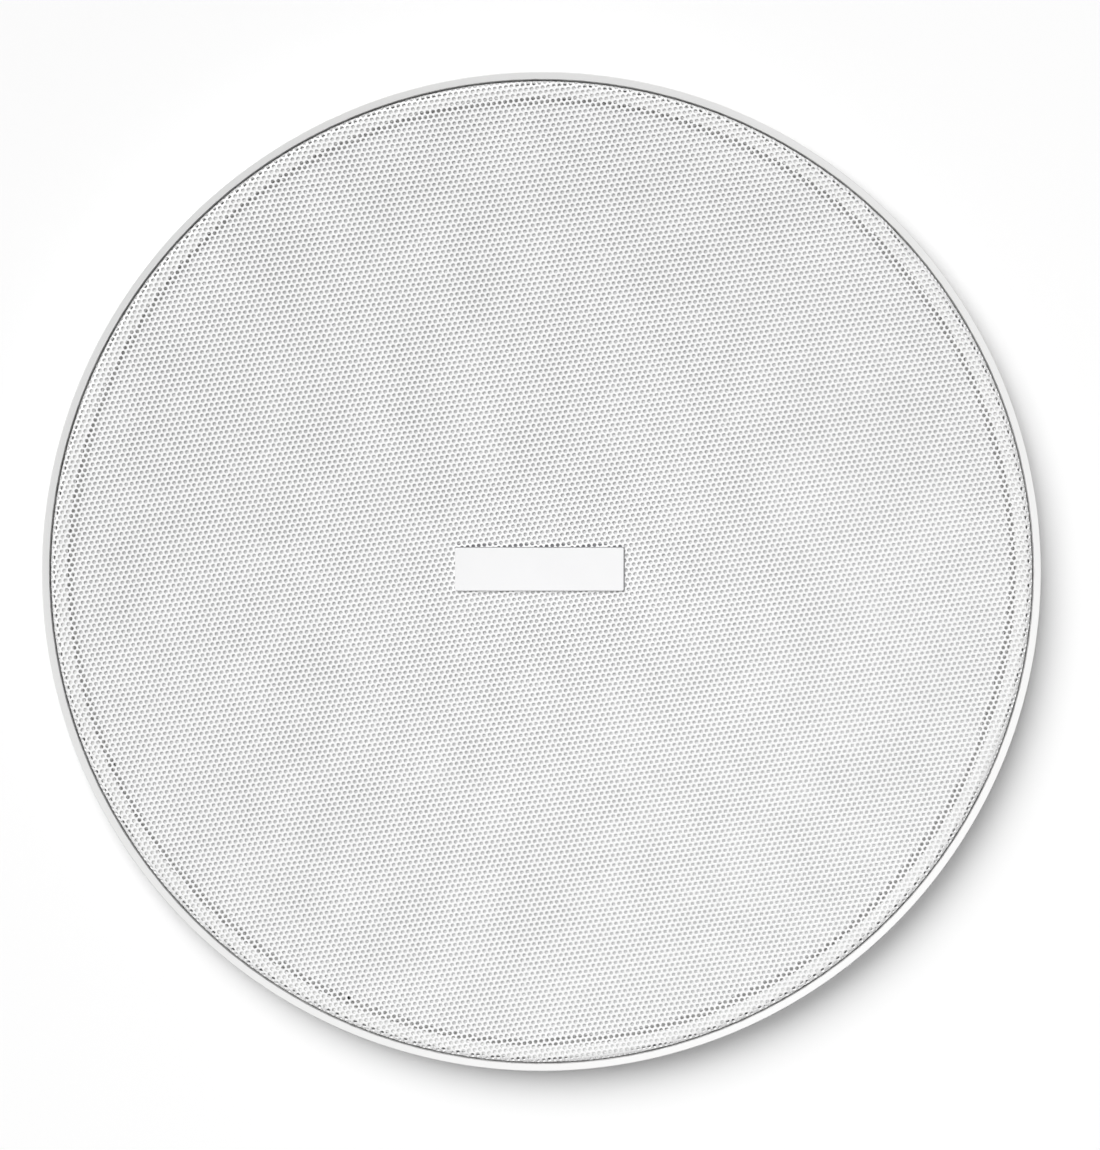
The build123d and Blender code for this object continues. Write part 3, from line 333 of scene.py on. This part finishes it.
# Tweeter bridge: a black moulded bar across the woofer, screwed to the frame at both ends.
# Its ring holds the tweeter on the speaker's axis.
black_moulding = coat("black_moulding", (0.024, 0.024, 0.026), 0.46, 0.0006, 0.00003, drift=0.15)
dressed("tweeter_bridge", black_moulding, edge=0.0003)
dressed("bridge_screws", black_oxide)

# Tweeter: a steel pot with a neodymium disc and a pole plate, a silk dome on its coil, and a short horn.
# A moulded housing closes it at the back, and its two leads run along the bridge.
plain_steel = coat("plain_steel", (0.55, 0.55, 0.56), 0.35, 0.0007, 0.00001, drift=0.08, metal=1.0)
nickel_plate = coat("nickel_plate", (0.70, 0.68, 0.64), 0.22, 0.0009, 0.00001, drift=0.05, metal=1.0)
coated_silk = woven("coated_silk", (0.04, 0.036, 0.036), 0.55, 0.0002, 0.00004)
fine_copper = wound("fine_copper", (0.62, 0.27, 0.12), 0.0002)
dressed("tweeter_housing", black_moulding, edge=0.0003)
dressed("tweeter_waveguide", black_moulding, edge=0.0002)
dressed("tweeter_pot", plain_steel, edge=0.0002)
dressed("tweeter_magnet", nickel_plate, edge=0.0002)
dressed("tweeter_pole_plate", plain_steel, edge=0.0002)
dressed("tweeter_voice_coil", fine_copper)
dressed("tweeter_dome", coated_silk)
dressed("tweeter_leads", black_sleeve)


# Crossover: a glass-fibre board on three pillars, with a coil on a bobbin, a film capacitor and a resistor.
# Green lacquer covers its copper, which shows through as lighter areas with thin dark gaps between them.
def lacquered_board(name):
    """Green lacquer over areas of copper with thin bare gaps between them."""
    finish = coat(name, (0.012, 0.11, 0.04), 0.3, 0.0007, 0.00001, drift=0.15)
    tree = finish.node_tree
    place = tree.nodes.new("ShaderNodeTexCoord")
    tracks = tree.nodes.new("ShaderNodeTexBrick")
    tracks.inputs["Scale"].default_value = 45
    tracks.inputs["Mortar Size"].default_value = 0.025
    tracks.inputs["Color1"].default_value = (0.016, 0.13, 0.045, 1)
    tracks.inputs["Color2"].default_value = (0.020, 0.15, 0.05, 1)
    tracks.inputs["Mortar"].default_value = (0.008, 0.07, 0.026, 1)
    rise = tree.nodes.new("ShaderNodeBump")
    rise.inputs["Strength"].default_value = 0.4
    rise.inputs["Distance"].default_value = 0.00004
    tree.links.new(place.outputs["Object"], tracks.inputs["Vector"])
    tree.links.new(tracks.outputs["Color"], tree.nodes["Principled BSDF"].inputs["Base Color"])
    tree.links.new(tracks.outputs["Fac"], rise.inputs["Height"])
    tree.links.new(tree.nodes["relief"].outputs["Normal"], rise.inputs["Normal"])
    tree.links.new(rise.outputs["Normal"], tree.nodes["Principled BSDF"].inputs["Normal"])
    return finish


green_board = lacquered_board("green_board")
heavy_copper = wound("heavy_copper", (0.62, 0.27, 0.12), 0.0008)
yellow_film = coat("yellow_film", (0.72, 0.40, 0.03), 0.22, 0.0012, 0.00002, drift=0.06)
white_cement = coat("white_cement", (0.76, 0.74, 0.68), 0.75, 0.0006, 0.00008, drift=0.06)
screw_zinc = coat("screw_zinc", (0.52, 0.53, 0.54), 0.36, 0.0006, 0.00001, drift=0.08, metal=1.0)
dressed("crossover_board", green_board, edge=0.0001)
dressed("board_screws", screw_zinc)
dressed("inductor_bobbin", black_moulding, edge=0.0003)
dressed("inductor_winding", heavy_copper)
dressed("crossover_capacitor", yellow_film)
dressed("crossover_resistor", white_cement, edge=0.0004)


def bent_leg(name, start, outward, floor):
    """A tinned wire that leaves the end of a component and bends down into the board."""
    down = Vector((0, 0, -1))
    shape = bmesh.new()
    bmesh.ops.create_circle(shape, segments=12, radius=leg_radius)
    aim = outward.to_track_quat("Z", "Y").to_matrix()
    bmesh.ops.rotate(shape, matrix=aim, verts=shape.verts)
    bmesh.ops.translate(shape, vec=start - outward * leg_run, verts=shape.verts)
    elbow = start + outward * leg_run
    for step in ("out", "round", "down"):
        end = [e for e in shape.edges if e.is_boundary or e.is_wire][-12:]
        if step == "round":
            bmesh.ops.spin(
                shape,
                geom=end + list({v for e in end for v in e.verts}),
                cent=elbow + down * leg_bend,
                axis=outward.cross(down),
                angle=pi / 2,
                steps=6,
            )
            continue
        run = outward * 2 * leg_run if step == "out" else down * (elbow.z - leg_bend - floor)
        grown = bmesh.ops.extrude_edge_only(shape, edges=end)["geom"]
        bmesh.ops.translate(shape, vec=run, verts=[v for v in grown if isinstance(v, bmesh.types.BMVert)])
    bmesh.ops.holes_fill(shape, edges=[e for e in shape.edges if e.is_boundary])
    bmesh.ops.recalc_face_normals(shape, faces=shape.faces)
    return piece(name, shape, "frame", tinned_brass)


leg_radius = 0.0004
leg_run = 0.0004
leg_bend = 0.0007
component_length = 0.018
board_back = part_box("crossover_board")[1].z
component_turns = {"crossover_capacitor": radians(103), "crossover_resistor": radians(104)}
for node, angle in component_turns.items():
    low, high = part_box(node)
    tangent = Vector((-sin(angle), cos(angle), 0))
    for side in (-1, 1):
        foot = (low + high) / 2 + side * tangent * component_length / 2
        bent_leg(f"{node}_leg_{side + 2}", foot, side * tangent, board_back)

# Push terminals: a moulded block on the board with a red and a black button.
# A pressed button opens the spring clip on the wire hole under it.
red_plastic = coat("red_plastic", (0.42, 0.015, 0.012), 0.3, 0.0008, 0.00001, drift=0.08)
black_button = coat("black_button", (0.03, 0.03, 0.032), 0.28, 0.0008, 0.00001, drift=0.12)
dressed("terminal_block", black_moulding, edge=0.0001)
dressed("terminal_button_red", red_plastic, body="button_red")
dressed("terminal_button_black", black_button, body="button_black")

# Clamps: four long screws, each with a brass insert in a white nylon arm that swings out over the ceiling.
# The screws have a coarse rolled thread, and spring clips on their shanks keep them in the frame.
def threaded_screw(node, finish):
    """A screw on its body, with the shank cut back to a core and a right-hand thread wound up it."""
    low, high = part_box(node)
    axis = (low + high) / 2
    shape = bmesh.new()
    shape.from_mesh(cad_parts[node].data)
    bmesh.ops.remove_doubles(shape, verts=shape.verts, dist=2e-6)
    bmesh.ops.dissolve_limit(
        shape, angle_limit=radians(0.5), verts=shape.verts, edges=shape.edges
    )
    for vert in shape.verts:
        arm = (vert.co - axis).xy
        if arm.length < thread_radius * 1.01 and vert.co.z > low.z + screw_head_height * 0.99:
            vert.co.xy = axis.xy + arm * core_radius / thread_radius
    thread_start = low.z + screw_head_height + thread_lead
    turns = (high.z - thread_start) / thread_lead - 1
    inside = core_radius * 0.96
    flanks = [(inside, 0.1), (thread_radius, 0.42), (thread_radius, 0.58), (inside, 0.9)]
    ridge = [
        shape.verts.new((axis.x + reach, axis.y, thread_start + rise * thread_lead))
        for reach, rise in flanks
    ]
    rim = [shape.edges.new(pair) for pair in zip(ridge, ridge[1:] + ridge[:1])]
    bmesh.ops.spin(
        shape,
        geom=ridge + rim,
        cent=axis,
        axis=(0, 0, 1),
        dvec=(0, 0, thread_lead / thread_steps),
        angle=turns * 2 * pi,
        steps=round(turns * thread_steps),
    )
    bmesh.ops.holes_fill(shape, edges=[e for e in shape.edges if e.is_boundary])
    bmesh.ops.recalc_face_normals(shape, faces=shape.faces)
    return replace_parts(piece(f"{node}_thread", shape, node, finish), node)


screw_head_height = 0.003
thread_radius = 0.002
core_radius = 0.0016
thread_lead = 0.002
thread_steps = 12
turned_brass = coat("turned_brass", (0.70, 0.48, 0.16), 0.28, 0.0006, 0.00001, drift=0.06, metal=1.0)
white_nylon = coat("white_nylon", (0.72, 0.72, 0.70), 0.4, 0.0006, 0.00003, drift=0.02)
for clamp in range(1, 5):
    threaded_screw(f"clamp_screw_{clamp}", screw_zinc)
    dressed(f"clamp_insert_{clamp}", turned_brass, f"clamp_insert_{clamp}", edge=0.0002)
    dressed(f"clamp_arm_{clamp}", white_nylon, f"clamp_arm_{clamp}", edge=0.0005)
dressed("clamp_clips", screw_zinc, edge=0.0001)

# Grille magnets: nickel-plated discs pressed into the frame's bosses. They hold the steel grille.
dressed("grille_magnets", nickel_plate, edge=0.0003)


# Grille: thin steel sheet, pierced all over on a triangular lattice, pressed into a shallow pan and
# powder coated white. The sheet is pierced before it is pressed, so the holes run over its rolled edge.
grille_low, grille_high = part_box("grille")
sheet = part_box("grille_scrim")[0].z - grille_low.z
bend = 0.0012
pitch = 0.0013
hole_corner = 0.0005
lattice_turn = radians(-7.5)
bend_start = grille_high.x - bend
bend_length = (bend - sheet / 2) * pi / 2
sheet_reach = bend_start + bend_length + grille_high.z - grille_low.z - bend


def pressed(point):
    """Where a point of the flat sheet ends up on the pan, its Z being its depth in the sheet."""
    along = min(hypot(point.x, point.y), sheet_reach) - bend_start
    if along <= 0:
        return Vector((point.x, point.y, grille_low.z + point.z))
    outward = Vector((point.x, point.y, 0)).normalized()
    arm = bend - point.z
    turn = min(along / bend_length, 1) * pi / 2
    skirt = max(along - bend_length, 0)
    return outward * (bend_start + arm * sin(turn)) + Vector(
        (0, 0, grille_low.z + bend - arm * cos(turn) + skirt)
    )


def pierced_sixth(turn):
    """A sixth of the sheet: a lattice of triangles with a hexagonal hole at each corner."""
    shape = bmesh.new()
    rows = ceil(sheet_reach / (pitch * cos(pi / 6))) + 1
    bmesh.ops.create_grid(shape, x_segments=rows, y_segments=rows, size=rows / 2)
    bmesh.ops.translate(shape, vec=(rows / 2, rows / 2, 0), verts=shape.verts)
    first = pitch * Vector((cos(turn), sin(turn), 0))
    second = pitch * Vector((cos(turn + pi / 3), sin(turn + pi / 3), 0))
    lattice = Matrix((first, second, (0, 0, 1))).transposed()
    bmesh.ops.transform(shape, matrix=lattice.to_4x4(), verts=shape.verts)
    beyond = [f for f in shape.faces if f.calc_center_median().length > sheet_reach + pitch]
    bmesh.ops.delete(shape, geom=beyond, context="FACES")
    bmesh.ops.triangulate(shape, faces=shape.faces, quad_method="SHORT_EDGE")
    beyond = [f for f in shape.faces if f.calc_center_median().length > sheet_reach]
    bmesh.ops.delete(shape, geom=beyond, context="FACES")
    holes = bmesh.ops.bevel(
        shape,
        geom=shape.verts[:],
        offset=hole_corner,
        segments=1,
        profile=0.5,
        affect="VERTICES",
        material=-1,
    )
    bmesh.ops.delete(shape, geom=holes["faces"], context="FACES_ONLY")
    bmesh.ops.solidify(shape, geom=shape.faces[:], thickness=sheet)
    low = min(vert.co.z for vert in shape.verts)
    for vert in shape.verts:
        vert.co.z -= low
        vert.co = pressed(vert.co)
    bmesh.ops.recalc_face_normals(shape, faces=shape.faces)
    return shape


powder_white = coat("powder_white", (0.92, 0.92, 0.92), 0.4, 0.0007, 0.00001, drift=0.01)
for sixth in range(6):
    leaf = pierced_sixth(lattice_turn + sixth * pi / 3)
    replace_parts(piece(f"grille_sixth_{sixth + 1}", leaf, "grille", powder_white, crease=50), "grille")

# Scrim: thin grey cloth cut by hand to a rough circle and glued to the back of the grille.
# It keeps dust out, and makes the holes look grey up to its edge.
scrim_low, scrim_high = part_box("grille_scrim")
scrim_radius = scrim_high.x
scrim_cut = bmesh.new()
bmesh.ops.create_circle(scrim_cut, cap_ends=True, segments=96, radius=scrim_radius)
bmesh.ops.translate(scrim_cut, vec=(0, 0, scrim_low.z), verts=scrim_cut.verts)
cut_wander = 0.0002
cut_margin = 0.0005
glued_band = 0.02
for step, vert in enumerate(scrim_cut.verts):
    wander = cut_wander * (sin(step * 0.9) + sin(step * 0.37 + 1)) - cut_margin
    vert.co.xy *= 1 + wander / scrim_radius
bmesh.ops.inset_region(scrim_cut, faces=scrim_cut.faces[:], thickness=glued_band)
bmesh.ops.solidify(scrim_cut, geom=scrim_cut.faces[:], thickness=scrim_low.z - scrim_high.z)
bmesh.ops.recalc_face_normals(scrim_cut, faces=scrim_cut.faces)
scrim_cloth = woven("scrim_cloth", (0.63, 0.63, 0.635), 0.85, 0.0004, 0.0001, drift=0.05)
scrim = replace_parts(piece("scrim", scrim_cut, "grille", scrim_cloth), "grille_scrim")

# Badge: a small blank plate of satin white plastic, stuck to the middle of the grille.
# A grey slab under it sits a little off to one corner, so it shows as a thin dark line along its top and
# right edges: painted shadow. A dark strip on the scrim along its top edge darkens the holes beside it:
# painted shadow.
def slab(name, low, high, finish):
    """A thin flat slab on the grille between two corners."""
    shape = bmesh.new()
    bmesh.ops.create_grid(shape, x_segments=1, y_segments=1, size=0.5)
    bmesh.ops.scale(shape, vec=(high.x - low.x, high.y - low.y, 1), verts=shape.verts)
    bmesh.ops.translate(shape, vec=((low.x + high.x) / 2, (low.y + high.y) / 2, high.z), verts=shape.verts)
    bmesh.ops.solidify(shape, geom=shape.faces[:], thickness=high.z - low.z)
    bmesh.ops.recalc_face_normals(shape, faces=shape.faces)
    return piece(name, shape, "grille", finish)


badge_low, badge_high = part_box("grille_badge")
shadow_pad_thickness = 0.0002
shadow_pad_shift = 0.0002
shadow_strip_width = 0.0009
shadow_strip_depth = 0.00008
badge_white = coat("badge_white", (0.85, 0.85, 0.855), 0.32, 0.0012, 0.00001, drift=0.015)
# Painted shadow: this grey stands for the badge's shadow line, and the dark grey after it for its shadow on
# the holes above.
badge_shadow_grey = coat("badge_shadow_grey", (0.30, 0.30, 0.31), 0.8, 0.0004, 0.00006, drift=0.1)
badge_shadow_dark = coat("badge_shadow_dark", (0.13, 0.13, 0.14), 0.35, 0.0006, 0.00003, drift=0.2)
dressed("grille_badge", badge_white, body="grille", edge=0.00015)
# Painted shadow: a grey slab shifted to the top right, which shows only as a thin line along the badge's
# edges.
slab(
    "badge_shadow_pad",
    Vector((badge_low.x + shadow_pad_shift, badge_low.y - shadow_pad_shift, badge_high.z - shadow_pad_thickness)),
    Vector((badge_high.x + shadow_pad_shift, badge_high.y - shadow_pad_shift, badge_high.z)),
    badge_shadow_grey,
)
# Painted shadow: a dark strip on the scrim above the badge, which darkens the row of holes there.
slab(
    "badge_shadow_strip",
    Vector((badge_low.x, badge_low.y - shadow_strip_width, scrim_low.z - shadow_strip_depth)),
    Vector((badge_high.x, badge_low.y, scrim_low.z)),
    badge_shadow_dark,
)


# Stage: a white ceiling with its cut-out, which only shows from below, and a white table, which only
# shows from above. Each takes the speaker's shadow on the side that it is seen from, and is plain white
# further off.
def one_way_white(name):
    """White paint that keeps shadows near the speaker, seen by the camera and only from its front."""
    finish = bpy.data.materials.new(name)
    finish.use_nodes = True
    tree = finish.node_tree
    tree.nodes.clear()
    out = tree.nodes.new("ShaderNodeOutputMaterial")
    clear = tree.nodes.new("ShaderNodeBsdfTransparent")
    paint = tree.nodes.new("ShaderNodeBsdfDiffuse")
    paint.inputs["Color"].default_value = (1, 1, 1, 1)
    glow = tree.nodes.new("ShaderNodeEmission")
    glow.inputs["Strength"].default_value = 1
    place = tree.nodes.new("ShaderNodeTexCoord")
    reach = tree.nodes.new("ShaderNodeVectorMath")
    reach.operation = "LENGTH"
    fade = tree.nodes.new("ShaderNodeMapRange")
    fade.inputs["From Min"].default_value = fade_start
    fade.inputs["From Max"].default_value = fade_end
    near = tree.nodes.new("ShaderNodeMixShader")
    rays = tree.nodes.new("ShaderNodeLightPath")
    side = tree.nodes.new("ShaderNodeNewGeometry")
    front = tree.nodes.new("ShaderNodeMath")
    front.operation = "SUBTRACT"
    front.use_clamp = True
    choice = tree.nodes.new("ShaderNodeMixShader")
    tree.links.new(place.outputs["Object"], reach.inputs[0])
    tree.links.new(reach.outputs["Value"], fade.inputs["Value"])
    tree.links.new(fade.outputs["Result"], near.inputs["Fac"])
    tree.links.new(paint.outputs["BSDF"], near.inputs[1])
    tree.links.new(glow.outputs["Emission"], near.inputs[2])
    tree.links.new(rays.outputs["Is Camera Ray"], front.inputs[0])
    tree.links.new(side.outputs["Backfacing"], front.inputs[1])
    tree.links.new(front.outputs["Value"], choice.inputs["Fac"])
    tree.links.new(clear.outputs["BSDF"], choice.inputs[1])
    tree.links.new(near.outputs["Shader"], choice.inputs[2])
    tree.links.new(choice.outputs["Shader"], out.inputs["Surface"])
    return finish


fade_start = 0.14
fade_end = 0.30
stage_reach = 6.0
stage_gap = 0.0002
ceiling_height = -stage_gap
cutout_radius = cad_box[1].x - 2 * stage_gap
ceiling = bmesh.new()
edge_point = ceiling.verts.new((cutout_radius, 0, ceiling_height))
bmesh.ops.spin(ceiling, geom=[edge_point], axis=(0, 0, 1), angle=2 * pi, steps=96, use_merge=True)
rim = bmesh.ops.extrude_edge_only(ceiling, edges=ceiling.edges[:])
for vert in rim["geom"]:
    if isinstance(vert, bmesh.types.BMVert):
        vert.co.xy *= stage_reach / cutout_radius
bmesh.ops.recalc_face_normals(ceiling, faces=ceiling.faces)
if ceiling.faces[:][0].normal.z > 0:
    bmesh.ops.reverse_faces(ceiling, faces=ceiling.faces)
piece("ceiling", ceiling, None, one_way_white("ceiling_white"))

table_height = cad_box[0].z - stage_gap
table = bmesh.new()
bmesh.ops.create_grid(table, x_segments=1, y_segments=1, size=stage_reach)
bmesh.ops.translate(table, vec=(0, 0, table_height), verts=table.verts)
piece("table", table, None, one_way_white("table_white"))

# Light: a broad soft sun from the upper left of the grille, with a weak lamp near the camera that adds
# gloss at the lower right. A pair of lamps above lights the back, and the surround is an even white.
def aimed(name, light, place):
    """A light at a place, pointing at the speaker."""
    holder = bpy.data.objects.new(name, light)
    holder.location = place
    holder.rotation_euler = (-Vector(place)).to_track_quat("-Z", "Y").to_euler()
    bpy.context.collection.objects.link(holder)


def soft_lamp(name, place, power, size):
    """A square soft lamp that points at the speaker."""
    light = bpy.data.lights.new(name, "AREA")
    light.energy = power
    light.size = size
    aimed(name, light, place)


front_sun = bpy.data.lights.new("front_sun", "SUN")
front_sun.energy = 2.85
front_sun.angle = radians(50)
aimed("front_sun", front_sun, (-0.40, -0.51, -0.77))
soft_lamp("front_fill", (0.055, 0.09, -0.55), 0.75, 0.3)
soft_lamp("back_key", (-0.8, -0.9, 1.3), 21, 0.6)
soft_lamp("back_fill", (0.6, 0.4, 1.5), 13, 1.0)

world = bpy.data.worlds.new("surround")
bpy.context.scene.world = world
world.use_nodes = True
sky = world.node_tree
sky_light = sky.nodes["Background"]
sky_light.inputs["Color"].default_value = (1, 1, 1, 1)
sky_light.inputs["Strength"].default_value = 0.10
sky_white = sky.nodes.new("ShaderNodeBackground")
sky_white.inputs["Color"].default_value = (1, 1, 1, 1)
sky_rays = sky.nodes.new("ShaderNodeLightPath")
seen = sky.nodes.new("ShaderNodeMath")
seen.operation = "MAXIMUM"
sky_choice = sky.nodes.new("ShaderNodeMixShader")
sky.links.new(sky_rays.outputs["Is Camera Ray"], seen.inputs[0])
sky.links.new(sky_rays.outputs["Is Glossy Ray"], seen.inputs[1])
sky.links.new(seen.outputs["Value"], sky_choice.inputs["Fac"])
sky.links.new(sky_light.outputs["Background"], sky_choice.inputs[1])
sky.links.new(sky_white.outputs["Background"], sky_choice.inputs[2])
sky.links.new(sky_choice.outputs["Shader"], sky.nodes["World Output"].inputs["Surface"])

# Camera: straight below the speaker, with the badge level and the frame as wide as in the photograph.
view_width = 0.2552
view_distance = 0.65
view_centre = (0.00197, 0.00081)
camera = bpy.data.cameras.new("camera")
camera.sensor_fit = "HORIZONTAL"
camera.lens = camera.sensor_width * view_distance / view_width
viewer = bpy.data.objects.new("camera", camera)
viewer.location = (*view_centre, cad_box[0].z - view_distance)
viewer.rotation_euler = (pi, 0, 0)
bpy.context.collection.objects.link(viewer)
bpy.context.scene.camera = viewer
bpy.context.scene.view_settings.view_transform = "Standard"
